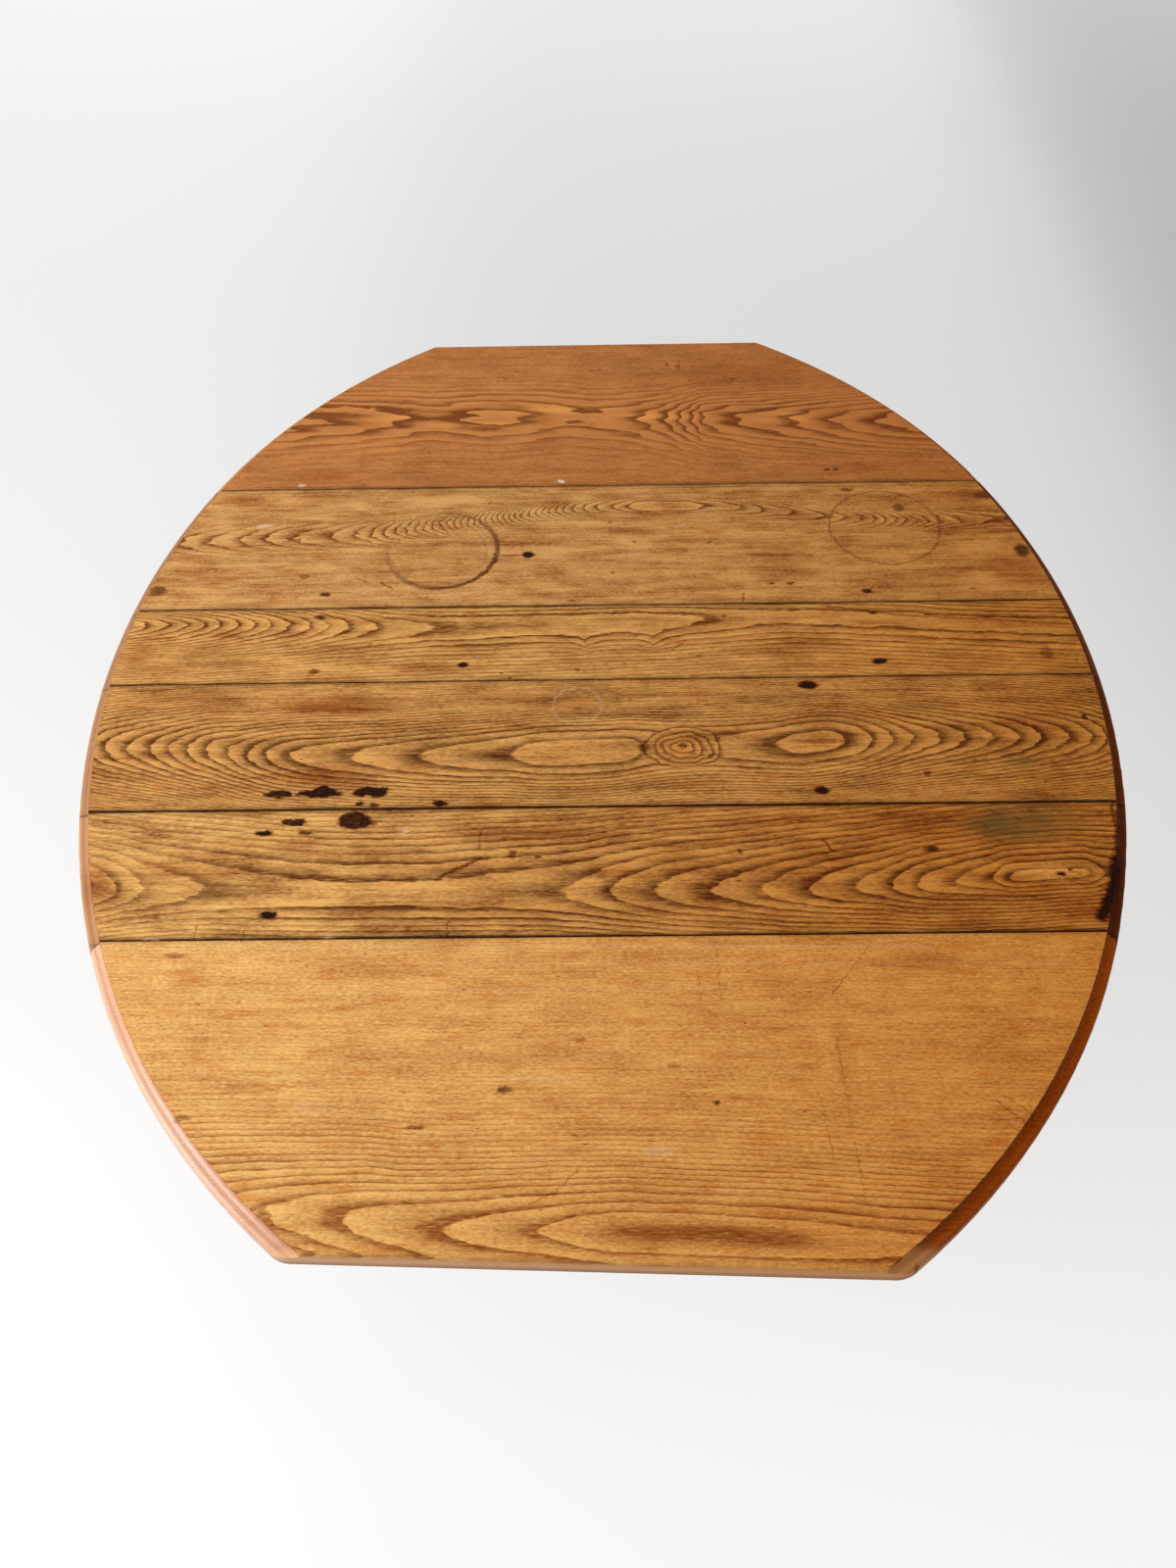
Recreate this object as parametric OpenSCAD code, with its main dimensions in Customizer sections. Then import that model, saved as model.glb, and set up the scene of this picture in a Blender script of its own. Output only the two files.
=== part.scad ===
// Drop-leaf dining table with rule joints, moulded bowed ends and hinged prop arms under the leaves.
// X runs along the hinge lines, Y from the front leaf to the back leaf and Z up from the floor.

/* [Top] */
// Height of the top surface above the floor
table_h = 737; // [650:1:800]
// Thickness of the top boards and the leaves
top_t = 22; // [20:0.5:30]
// Distance between the two hinge lines
centre_w = 634; // [560:1:760]
// Greatest length of the top, from one bowed end to the other
top_len = 1066; // [1000:1:1300]
// Depth of the open top, from the front edge to the back edge
open_depth = 1232; // [1150:1:1400]
// Radius of the bowed end on the centre boards
bow_r = 841; // [780:1:1200]
// Radius of the bowed end on the leaves
leaf_bow_r = 684; // [600:1:790]
// Angle by which the front edge is out of square
front_skew = 1.92; // [0:0.01:3]
// Plan radius of the corners where the bowed ends meet the straight edges
corner_r = 28; // [15:1:45]
// Width of the second board from the back
board_b_w = 112; // [80:0.5:160]
// Width of the third board from the back
board_c_w = 168.5; // [120:0.5:200]
// Width of the front board of the centre
board_d_w = 147; // [110:0.5:180]
// Gap left in a closed board joint
seam_gap = 0.5; // [0.3:0.1:0.9]
// Gap in the board joint that has opened
open_seam_gap = 0.9; // [0.3:0.1:0.95]

/* [Edges] */
// Radius of the hollow of the moulded edge
cove_r = 6; // [4:0.5:7]
// Radius of the rounded rim of the moulded edge
rim_r = 6; // [4:0.5:7]
// Depth of the small step beside the hollow
quirk_d = 0.8; // [0.4:0.1:2]
// Radius that eases the straight front and back edges
ease_r = 4.5; // [2:0.5:7]

/* [Rule joint] */
// Radius of the rounded tongue on the fixed top
rule_r = 12; // [9:0.5:13]
// Height of the hinge axis above the underside of the top
axis_h = 3; // [2.8:0.1:4]
// Clearance between the tongue and the hollow of the leaf
rule_gap = 0.6; // [0.4:0.1:1]
// Width of the joint line on the top surface
lip_gap = 0.8; // [0.5:0.1:1.5]

/* [Hinges] */
// Distance of the outer hinges from the farthest points of the bowed ends
hinge_inset = 203; // [180:1:330]
// Length of a hinge along its pin
hinge_w = 38; // [30:1:60]
// Thickness of the hinge plates
plate_t = 2; // [1.5:0.1:2.2]
// Radius of the hinge knuckles
knuckle_r = 4; // [3.5:0.1:4.5]
// Radius of the hinge pins
hinge_pin_r = 1.5; // [1:0.1:2]
// Reach of the short plate from the pin
short_plate = 36; // [30:1:60]
// Reach of the long plate from the pin
long_plate = 64; // [55:1:90]
// Shank radius of the hinge screws
hinge_screw_r = 1.7; // [1.2:0.1:2]
// Length of the hinge screws
hinge_screw_l = 14; // [10:0.5:16]

/* [Frame] */
// Overhang of the bowed ends beyond the legs
end_overhang = 108; // [85:1:145]
// Overhang of the hinge lines beyond the legs
side_overhang = 72; // [62:1:100]
// Side of the square leg block
leg_w = 57; // [50:1:70]
// Height of the square leg block
block_h = 155; // [140:1:200]
// Height of the aprons
apron_h = 127; // [115:1:140]
// Thickness of the aprons
apron_t = 22; // [20:1:28]
// Length of the tenons
tenon_l = 30; // [20:1:32]
// Thickness of the tenons
tenon_t = 8; // [6:0.5:10]
// Shoulder above and below each tenon
tenon_shoulder = 13; // [8:1:20]
// Radius of the pegs
peg_r = 4; // [3:0.5:5]
// Height of the middle rail
rail_h = 70; // [50:1:100]
// Side of the glue blocks
glue_block = 26; // [20:1:34]
// Length of the glue blocks
glue_block_l = 80; // [50:1:110]
// Shank radius of the top screws
top_screw_r = 2.5; // [2:0.1:3]
// Length of the top screws
top_screw_l = 38; // [30:1:44]

/* [Battens and props] */
// Distance of the battens and props from the middle
prop_x = 180; // [120:1:210]
// Width of the battens
batten_w = 30; // [26:1:45]
// Thickness of the battens
batten_t = 20; // [18:1:24]
// Distance from the hinge axis to the near end of the battens
batten_in = 22; // [20:1:40]
// Length of the battens
batten_l = 236; // [180:1:250]
// Width of the prop arms
arm_w = 22; // [18:1:30]
// Depth of the prop arms
arm_d = 26; // [22:1:28]
// Length of the prop arms from the pivot to the tip
arm_l = 190; // [180:1:200]
// Slope of the prop arms when they hold a leaf up
prop_angle = 25; // [24:0.5:28]
// Slope of the bearing face at the tip of the props
tip_slope = 37; // [34:1:38]
// Clearance between a prop's tip and its notch
notch_gap = 0.3; // [0.2:0.1:0.5]
// Radius of the prop pins
prop_pin_r = 3; // [2.5:0.1:4]
// Thickness of the bracket iron
iron_t = 3; // [2:0.5:4]
// Shank radius of the bracket and batten screws
wood_screw_r = 2; // [1.5:0.1:2.3]
// Length of the bracket screws
bracket_screw_l = 18; // [14:1:20]
// Length of the batten screws
batten_screw_l = 32; // [26:1:36]

/* [Hidden] */

$fn = 64;
bow_fn = 720;

// Running clearance of pins in their holes, and of screws and pegs in wood
pin_gap = 0.05;
screw_gap = 0.05;
// Clearance of hinge plates and knuckles in their recesses
recess_gap = 0.3;
knuckle_gap = 0.6;

under_z = table_h - top_t;
axis_z = under_z + axis_h;
hinge_y = centre_w / 2;
half_depth = open_depth / 2;
hinge_pitch = top_len / 2 - hinge_inset;
frame_len = top_len - 2 * end_overhang;
frame_depth = centre_w - 2 * side_overhang;
apron_y = frame_depth / 2;

// The bowed end of the centre is one arc, and the leaf's arc meets it smoothly on the hinge line
bow_x = bow_r - top_len / 2;
bow_angle = asin(hinge_y / bow_r);
leaf_bow_x = bow_x - (bow_r - leaf_bow_r) * cos(bow_angle);
leaf_bow_y = (bow_r - leaf_bow_r) * sin(bow_angle);

// Joint lines between the centre boards, from the back
seam_ab = hinge_y - (centre_w - board_b_w - board_c_w - board_d_w);
seam_bc = seam_ab - board_b_w;
seam_cd = seam_bc - board_c_w;

// The corner rounds are a hair larger than tangent circles, so that they meet the sides on clean edges
corner_slack = 0.03;

leg_x = frame_len / 2 - leg_w / 2;
leg_y = frame_depth / 2 - leg_w / 2;
apron_z = under_z - apron_h;
tenon_h = apron_h - 2 * tenon_shoulder;
mortise_gap = 1;

// Pivot of a prop, measured from the hinge axis: outward and up
bracket_reach = arm_d / 2 + 1.5 + iron_t;
pivot_s = apron_y + bracket_reach - hinge_y;
notch_low = axis_h + batten_t;
pivot_z = -(notch_low + arm_l * sin(prop_angle) - 0.3);
ear_gap = 0.5;
ear_r = 9;
bracket_plate_w = 56;
bracket_plate_h = 46;

wood_gold = "#b98a4e";
wood_tan = "#c08f55";
wood_red = "#a96f3a";
wood_base = "#8a5a30";
wood_pale = "#b08a5a";
iron = "#4a4744";
steel = "#77736c";

function unit(v) = v / norm(v);

// Turns a shape that is modelled on the back side round to the front side
module to_side(front) {
  rotate([0, 0, front ? 180 : 0]) children();
}

// Moves the origin to the hinge axis of the back side, with Y outward
module at_axis() {
  translate([0, hinge_y, axis_z]) children();
}

// Extrudes an outline drawn in Y and Z along X, centred
module along_x(length) {
  translate([-length / 2, 0, 0]) rotate([90, 0, 90]) linear_extrude(length) children();
}

// Screw with a countersunk slotted head at the origin, pointing up
module screw(r, length) {
  head_r = 2 * r;
  difference() {
    rotate_extrude($fn = 24)
      polygon([[0, 0], [head_r, 0], [r, r], [r, length - 2 * r], [0, length]]);
    translate([-head_r - 1, -r / 4, -1]) cube([2 * head_r + 2, r / 2, 1 + r / 2]);
  }
}

// Hole that takes such a screw
module screw_hole(r, length) {
  wide = 2 * r + screw_gap;
  slim = r + screw_gap;
  rotate_extrude($fn = 24)
    polygon([[0, -1], [wide, -1], [wide, 0], [slim, r + screw_gap], [slim, length + 0.5], [0, length + 0.5]]);
}

// Round slab with the moulded edge, standing on the underside of the top
module moulded_disc(r) {
  translate([0, 0, under_z]) rotate_extrude($fn = bow_fn) difference() {
    square([r, top_t]);
    translate([r - rim_r - cove_r - quirk_d, top_t - quirk_d]) square([rim_r + cove_r + quirk_d + 1, quirk_d + 1]);
    translate([r - rim_r, top_t - quirk_d]) circle(cove_r, $fn = 48);
    difference() {
      translate([r - rim_r, top_t - quirk_d - cove_r - rim_r]) square([rim_r + 1, cove_r + rim_r + 1]);
      translate([r - rim_r, top_t - quirk_d - cove_r - rim_r]) circle(rim_r, $fn = 48);
    }
  }
}

// Both bowed ends of the centre part
module centre_outline() {
  intersection() {
    translate([-bow_x, 0, 0]) moulded_disc(bow_r);
    translate([bow_x, 0, 0]) moulded_disc(bow_r);
  }
}

// Both bowed ends of the back leaf
module leaf_outline() {
  intersection() {
    translate([-leaf_bow_x, leaf_bow_y, 0]) moulded_disc(leaf_bow_r);
    translate([leaf_bow_x, leaf_bow_y, 0]) moulded_disc(leaf_bow_r);
  }
}

// Strip of the top between two lines across it
module strip(y0, y1) {
  translate([-top_len / 2 - 1, y0, under_z]) cube([top_len + 2, y1 - y0, top_t]);
}

// Tongue that the leaf's hollow turns round
module rule_tongue() {
  at_axis() along_x(top_len) intersection() {
    union() {
      circle(rule_r, $fn = 96);
      translate([0, -axis_h]) square([rule_r, axis_h]);
    }
    translate([-1, -axis_h]) square([rule_r + 1, rule_r + axis_h]);
  }
}

// Space that the tongue needs in the leaf
module rule_hollow() {
  wide = rule_r + rule_gap;
  at_axis() along_x(top_len) union() {
    circle(wide, $fn = 96);
    translate([-1, -axis_h - 1]) square([wide + 1, axis_h + 1]);
    translate([-wide, -axis_h - 1]) square([wide + lip_gap, top_t + 2]);
  }
}

module at_hinges() {
  for (x = [-hinge_pitch, 0, hinge_pitch]) translate([x, 0, 0]) at_axis() children();
}

short_screws = [[-hinge_w / 3, -16], [hinge_w / 3, -16], [0, 6 - short_plate]];
long_screws = [[-hinge_w / 3, 24], [hinge_w / 3, 38], [-hinge_w / 3, long_plate - 10]];

// Recess in the underside of the top for the knuckles, the short plate and the reach of the long one
module hinge_recess_top() {
  wide = hinge_w + 2 * recess_gap;
  groove = knuckle_r + knuckle_gap;
  at_hinges() {
    along_x(wide) union() {
      circle(groove);
      translate([-groove, -axis_h - 1]) square([2 * groove, axis_h + 1]);
    }
    translate([-wide / 2, -short_plate - recess_gap, -axis_h - 1])
      cube([wide, short_plate + recess_gap, 1 + plate_t]);
    translate([-wide / 2, 0, -axis_h - 1])
      cube([wide, rule_r + 1, 1 + plate_t + recess_gap]);
    for (p = short_screws) translate([p[0], p[1], -axis_h]) screw_hole(hinge_screw_r, hinge_screw_l);
  }
}

// Recess in the underside of a leaf for the long plate
module hinge_recess_leaf() {
  wide = hinge_w + 2 * recess_gap;
  at_hinges() {
    translate([-wide / 2, rule_r - 1, -axis_h - 1])
      cube([wide, long_plate + recess_gap - rule_r + 1, 1 + plate_t]);
    for (p = long_screws) translate([p[0], p[1], -axis_h]) screw_hole(hinge_screw_r, hinge_screw_l);
  }
}

// Back board: carries the tongue of the back rule joint
module top_board_back() {
  color(wood_gold) difference() {
    intersection() {
      centre_outline();
      union() {
        strip(seam_ab + seam_gap / 2, hinge_y);
        rule_tongue();
      }
    }
    hinge_recess_top();
    glue_block_screw_holes();
  }
}

module top_board_second() {
  color(wood_tan) difference() {
    intersection() {
      centre_outline();
      strip(seam_bc + seam_gap / 2, seam_ab - seam_gap / 2);
    }
    glue_block_screw_holes();
  }
}

module top_board_third() {
  color(wood_gold) difference() {
    intersection() {
      centre_outline();
      strip(seam_cd + open_seam_gap / 2, seam_bc - seam_gap / 2);
    }
    glue_block_screw_holes();
  }
}

// Front board: carries the tongue of the front rule joint
module top_board_front() {
  color(wood_tan) difference() {
    intersection() {
      centre_outline();
      union() {
        strip(-hinge_y, seam_cd - open_seam_gap / 2);
        to_side(true) rule_tongue();
      }
    }
    to_side(true) hinge_recess_top();
    glue_block_screw_holes();
  }
}

// Centres of the two corner rounds of a leaf whose straight edge is out of square by an angle
function left_round() =
  let (reach = leaf_bow_r - corner_r, y = half_depth - corner_r)
  [leaf_bow_x - sqrt(reach * reach - (y - leaf_bow_y) * (y - leaf_bow_y)), y];
function right_round(skew) =
  let (
    reach = leaf_bow_r - corner_r,
    d = left_round() - [-leaf_bow_x, leaf_bow_y],
    t = [cos(skew), -sin(skew)],
    along = -d * t + sqrt((d * t) * (d * t) - d * d + reach * reach)
  )
  left_round() + along * t;

// What is cut away outside one rounded corner
module corner_cut(centre, edge_dir, bow_dir) {
  translate([centre[0], centre[1], under_z - 1]) linear_extrude(top_t + 2) difference() {
    polygon([[0, 0], 3 * corner_r * edge_dir, 4 * corner_r * unit(edge_dir + bow_dir), 3 * corner_r * bow_dir]);
    circle(corner_r + corner_slack, $fn = 96);
  }
}

// Leaf board on the back side, its straight edge out of square by an angle
module leaf_board(skew) {
  left = left_round();
  right = right_round(skew);
  edge_dir = [sin(skew), cos(skew)];
  left_dir = unit(left - [leaf_bow_x, leaf_bow_y]);
  right_dir = unit(right - [-leaf_bow_x, leaf_bow_y]);
  difference() {
    intersection() {
      leaf_outline();
      strip(hinge_y, half_depth + 1);
      translate([left[0], left[1], under_z - 1]) rotate([0, 0, -skew])
        translate([-top_len, corner_r - open_depth, 0]) cube([2 * top_len, open_depth, top_t + 2]);
    }
    rule_hollow();
    // Quarter round that eases the straight edge
    translate([left[0], left[1], table_h - ease_r]) rotate([0, 0, -skew]) translate([0, corner_r - ease_r, 0])
      along_x(2 * top_len)
        polygon(concat(
          [for (i = [0 : 6]) ease_r * [cos(15 * i), sin(15 * i)]],
          [[0, ease_r + 1], [ease_r + 1, ease_r + 1], [ease_r + 1, 0]]
        ));
    corner_cut(left, edge_dir, left_dir);
    corner_cut(right, edge_dir, right_dir);
    hinge_recess_leaf();
    batten_screw_holes();
  }
}

module leaf_board_back() {
  color(wood_red) leaf_board(0);
}

module leaf_board_front() {
  color(wood_tan) to_side(true) leaf_board(front_skew);
}

// One turned leg outline: radius against height, from the floor to the square block
turn_h = under_z - block_h;
foot_r = 13;
ankle_r = 14;
taper_r = 16;
vase_r = 27;
neck_r = 17;
bead_r = 26;

// Points that ease from one radius to another
function ease_turn(z0, r0, z1, r1, n) =
  [for (i = [0 : n]) let (k = i / n) [r0 + (r1 - r0) * (1 - cos(180 * k)) / 2, z0 + (z1 - z0) * k]];
// Points of a half round bead that stands out from a radius
function bead(z0, z1, r, out, n) =
  [for (i = [0 : n]) let (a = 180 * i / n) [r + out * sin(a), (z0 + z1) / 2 - (z1 - z0) / 2 * cos(a)]];

leg_outline = concat(
  [[0, 0], [foot_r - 1, 0]],
  ease_turn(2, foot_r, 62, 20, 6),
  ease_turn(72, 20, 88, ankle_r, 4),
  bead(92, 104, ankle_r + 1, 6, 8),
  ease_turn(108, taper_r - 1, turn_h - 130, vase_r, 12),
  ease_turn(turn_h - 120, vase_r, turn_h - 54, neck_r, 8),
  bead(turn_h - 50, turn_h - 42, neck_r + 1, 4, 6),
  ease_turn(turn_h - 38, neck_r, turn_h - 24, neck_r + 2, 3),
  bead(turn_h - 20, turn_h - 6, neck_r + 4, bead_r - neck_r - 4, 8),
  [[neck_r + 5, turn_h - 4], [neck_r + 5, turn_h + 6], [0, turn_h + 6]]
);

// Leg at the back right corner, with a mortise on each inner face
module leg() {
  tenon_z = apron_z + tenon_shoulder;
  difference() {
    union() {
      rotate_extrude($fn = 72) polygon(leg_outline);
      intersection() {
        translate([-leg_w / 2, -leg_w / 2, turn_h]) cube([leg_w, leg_w, block_h]);
        // The corners of the block are turned round at its foot
        translate([0, 0, turn_h]) rotate_extrude($fn = 72)
          polygon(concat([[0, 0]], ease_turn(0, neck_r + 8, 14, leg_w * 0.72, 6), [[leg_w, block_h], [0, block_h]]));
      }
    }
    translate([-leg_w / 2 - 1, leg_w / 2 - apron_t / 2 - tenon_t / 2, tenon_z])
      cube([1 + tenon_l + mortise_gap, tenon_t, tenon_h]);
    translate([leg_w / 2 - apron_t / 2 - tenon_t / 2, -leg_w / 2 - 1, tenon_z])
      cube([tenon_t, 1 + tenon_l + mortise_gap, tenon_h]);
    peg_shapes(peg_r + screw_gap, 1);
  }
}

// Pegs of one leg, from its outer faces: two through each tenon
module peg_shapes(r, proud) {
  for (z = [apron_z + apron_h / 2 - tenon_h / 4, apron_z + apron_h / 2 + tenon_h / 4]) {
    translate([-leg_w / 2 + tenon_l / 2, leg_w / 2 + proud, z]) rotate([90, 0, 0])
      cylinder(h = apron_t / 2 + tenon_t / 2 + 9 + proud, r = r, $fn = 24);
    translate([leg_w / 2 + proud, -leg_w / 2 + tenon_l / 2, z]) rotate([0, -90, 0])
      cylinder(h = apron_t / 2 + tenon_t / 2 + 9 + proud, r = r, $fn = 24);
  }
}

// Puts a shape that is modelled for the back right corner on a corner
module at_corner(right, back) {
  mirror([right ? 0 : 1, 0, 0]) mirror([0, back ? 0 : 1, 0]) translate([leg_x, leg_y, 0]) children();
}

module leg_front_left() { color(wood_base) at_corner(false, false) leg(); }
module leg_front_right() { color(wood_base) at_corner(true, false) leg(); }
module leg_back_left() { color(wood_base) at_corner(false, true) leg(); }
module leg_back_right() { color(wood_base) at_corner(true, true) leg(); }

module at_corners() {
  for (right = [false, true], back = [false, true]) at_corner(right, back) children();
}

// Back apron with its tenons
module apron_long() {
  inner = frame_len - 2 * leg_w;
  difference() {
    union() {
      translate([-inner / 2, apron_y - apron_t, apron_z]) cube([inner, apron_t, apron_h]);
      translate([-inner / 2 - tenon_l, apron_y - apron_t / 2 - tenon_t / 2, apron_z + tenon_shoulder])
        cube([inner + 2 * tenon_l, tenon_t, tenon_h]);
    }
    at_corners() peg_shapes(peg_r + screw_gap, 1);
    translate([0, apron_y - apron_t, 0]) rail_mortise();
    bracket_screw_holes();
  }
}

// Right end apron with its tenons
module apron_end() {
  inner = frame_depth - 2 * leg_w;
  difference() {
    union() {
      translate([frame_len / 2 - apron_t, -inner / 2, apron_z]) cube([apron_t, inner, apron_h]);
      translate([frame_len / 2 - apron_t / 2 - tenon_t / 2, -inner / 2 - tenon_l, apron_z + tenon_shoulder])
        cube([tenon_t, inner + 2 * tenon_l, tenon_h]);
    }
    at_corners() peg_shapes(peg_r + screw_gap, 1);
  }
}

module apron_back() { color(wood_base) apron_long(); }
module apron_front() { color(wood_base) to_side(true) apron_long(); }
module apron_right() { color(wood_base) apron_end(); }
module apron_left() { color(wood_base) to_side(true) apron_end(); }

// Middle rail across the frame, stub tenoned into the long aprons
rail_tenon_l = 10;
module rail_mortise() {
  translate([-tenon_t / 2, -1, under_z - rail_h + tenon_shoulder])
    cube([tenon_t, 1 + rail_tenon_l + mortise_gap, rail_h - 2 * tenon_shoulder]);
}

module middle_rail() {
  inner = frame_depth - 2 * apron_t;
  color(wood_pale) union() {
    translate([-apron_t / 2, -inner / 2, under_z - rail_h]) cube([apron_t, inner, rail_h]);
    translate([-tenon_t / 2, -inner / 2 - rail_tenon_l, under_z - rail_h + tenon_shoulder])
      cube([tenon_t, inner + 2 * rail_tenon_l, rail_h - 2 * tenon_shoulder]);
  }
}

module joint_pegs() {
  color(wood_pale) at_corners() peg_shapes(peg_r, 0.5);
}

// Places of the glue blocks: a corner point on the apron's inner face and the direction it faces
block_inset_x = frame_len / 2 - apron_t;
block_inset_y = frame_depth / 2 - apron_t;
block_far_x = 0.62 * block_inset_x;
glue_block_places = concat(
  [for (s = [-1, 1], x = [-block_far_x, -block_far_x / 2.6, block_far_x / 2.6, block_far_x]) [x, s * block_inset_y, s > 0 ? 0 : 180]],
  [for (s = [-1, 1], y = [seam_ab - board_b_w / 2, seam_bc - board_c_w / 2]) [s * block_inset_x, y, s > 0 ? -90 : 90]]
);

module at_glue_blocks() {
  for (p = glue_block_places) translate([p[0], p[1], under_z]) rotate([0, 0, p[2]]) children();
}

// Screw through a glue block, from its underside into the top
module at_top_screw() {
  translate([0, -glue_block / 2, -glue_block]) children();
}

module glue_block_screw_holes() {
  at_glue_blocks() at_top_screw() screw_hole(top_screw_r, top_screw_l);
}

module glue_blocks() {
  color(wood_pale) difference() {
    at_glue_blocks() translate([-glue_block_l / 2, -glue_block, -glue_block])
      cube([glue_block_l, glue_block, glue_block]);
    glue_block_screw_holes();
  }
}

module top_screws() {
  color(steel) at_glue_blocks() at_top_screw() screw(top_screw_r, top_screw_l);
}

// Knuckles of a hinge: five along the pin, the odd ones on the short plate
knuckle_w = hinge_w / 5;
module knuckles(first) {
  for (i = [first : 2 : 4])
    translate([-hinge_w / 2 + i * knuckle_w + 0.1, 0, 0]) rotate([0, 90, 0])
      cylinder(h = knuckle_w - 0.2, r = knuckle_r, $fn = 48);
}

// Room for the other plate's knuckles
module knuckle_room(first) {
  for (i = [first : 2 : 4])
    translate([-hinge_w / 2 + i * knuckle_w - 0.1, -knuckle_r - knuckle_gap, -knuckle_r - 1])
      cube([knuckle_w + 0.2, 2 * (knuckle_r + knuckle_gap), 2 * knuckle_r + 2]);
}

module pin_bore() {
  translate([-hinge_w / 2 - 1, 0, 0]) rotate([0, 90, 0])
    cylinder(h = hinge_w + 2, r = hinge_pin_r + pin_gap, $fn = 32);
}

module short_plates() {
  at_hinges() difference() {
    union() {
      difference() {
        translate([-hinge_w / 2, -short_plate, -axis_h]) cube([hinge_w, short_plate, plate_t]);
        knuckle_room(1);
      }
      knuckles(0);
    }
    pin_bore();
    for (p = short_screws) translate([p[0], p[1], -axis_h]) screw_hole(hinge_screw_r, plate_t + 1);
  }
}

module long_plates() {
  at_hinges() difference() {
    union() {
      difference() {
        translate([-hinge_w / 2, 0, -axis_h]) cube([hinge_w, long_plate, plate_t]);
        knuckle_room(0);
      }
      knuckles(1);
    }
    pin_bore();
    for (p = long_screws) translate([p[0], p[1], -axis_h]) screw_hole(hinge_screw_r, plate_t + 1);
  }
}

module hinge_pins() {
  at_hinges() translate([-hinge_w / 2, 0, 0]) rotate([0, 90, 0])
    cylinder(h = hinge_w, r = hinge_pin_r, $fn = 32);
}

module hinge_short_plates_back() { color(iron) short_plates(); }
module hinge_short_plates_front() { color(iron) to_side(true) short_plates(); }
module hinge_long_plates_back() { color(iron) long_plates(); }
module hinge_long_plates_front() { color(iron) to_side(true) long_plates(); }
module hinge_pins_back() { color(steel) hinge_pins(); }
module hinge_pins_front() { color(steel) to_side(true) hinge_pins(); }

module leaf_hinge_screws() {
  at_hinges() for (p = long_screws) translate([p[0], p[1], -axis_h]) screw(hinge_screw_r, hinge_screw_l);
}

module hinge_screws_top() {
  color(steel) for (front = [false, true]) to_side(front) at_hinges()
    for (p = short_screws) translate([p[0], p[1], -axis_h]) screw(hinge_screw_r, hinge_screw_l);
}
module hinge_screws_leaf_back() { color(steel) leaf_hinge_screws(); }
module hinge_screws_leaf_front() { color(steel) to_side(true) leaf_hinge_screws(); }

// Battens under a leaf, each with a notch that the prop's tip rests in
batten_screw_places = [batten_in + 20, batten_in + batten_l * 0.62, batten_in + batten_l - 22];

// Outline of a prop from the side, with the pivot at the origin and the arm level
module arm_outline(grow) {
  tip_lean = 90 - tip_slope - prop_angle;
  difference() {
    translate([0, -arm_d / 2 - grow]) square([arm_l + arm_d, arm_d + 2 * grow]);
    translate([arm_l + grow, 0]) rotate(tip_lean) translate([0, -2 * arm_d]) square([2 * arm_d, 4 * arm_d]);
  }
}

module battens() {
  for (x = [-prop_x, prop_x]) difference() {
    translate([x, 0, 0]) at_axis() translate([-batten_w / 2, batten_in, -notch_low])
      cube([batten_w, batten_l, batten_t]);
    translate([x, 0, 0]) at_axis() translate([0, pivot_s, pivot_z]) rotate([prop_angle, 0, 0])
      along_x(batten_w + 2) arm_outline(notch_gap);
    batten_screw_holes();
  }
}

module at_batten_screws() {
  for (x = [-prop_x, prop_x], s = batten_screw_places) translate([x, 0, 0]) at_axis()
    translate([0, s, -notch_low]) children();
}

module batten_screw_holes() {
  at_batten_screws() screw_hole(wood_screw_r, batten_screw_l);
}

module batten_screws() {
  at_batten_screws() screw(wood_screw_r, batten_screw_l);
}

module battens_back() { color(wood_pale) battens(); }
module battens_front() { color(wood_pale) to_side(true) battens(); }
module batten_screws_back() { color(steel) batten_screws(); }
module batten_screws_front() { color(steel) to_side(true) batten_screws(); }

// Prop arm with a round eye, sloping up to its batten
module prop_arm() {
  at_axis() translate([0, pivot_s, pivot_z]) rotate([prop_angle, 0, 0]) difference() {
    union() {
      along_x(arm_w) arm_outline(0);
      rotate([0, 90, 0]) cylinder(h = arm_w, r = arm_d / 2, center = true);
    }
    rotate([0, 90, 0]) cylinder(h = arm_w + 2, r = prop_pin_r + pin_gap, center = true);
  }
}

module prop_arm_back_left() { color(wood_pale) translate([-prop_x, 0, 0]) prop_arm(); }
module prop_arm_back_right() { color(wood_pale) translate([prop_x, 0, 0]) prop_arm(); }
module prop_arm_front_left() { color(wood_pale) translate([-prop_x, 0, 0]) to_side(true) prop_arm(); }
module prop_arm_front_right() { color(wood_pale) translate([prop_x, 0, 0]) to_side(true) prop_arm(); }

bracket_screw_places = [for (x = [-1, 1], z = [-1, 1]) [x * (bracket_plate_w / 2 - 7), z * (bracket_plate_h / 2 - 7)]];

module at_bracket_screws() {
  for (x = [-prop_x, prop_x], p = bracket_screw_places) at_axis()
    translate([x + p[0], apron_y + iron_t - hinge_y, pivot_z + p[1]]) rotate([90, 0, 0]) children();
}

module bracket_screw_holes() {
  at_bracket_screws() screw_hole(wood_screw_r, bracket_screw_l);
}

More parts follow.
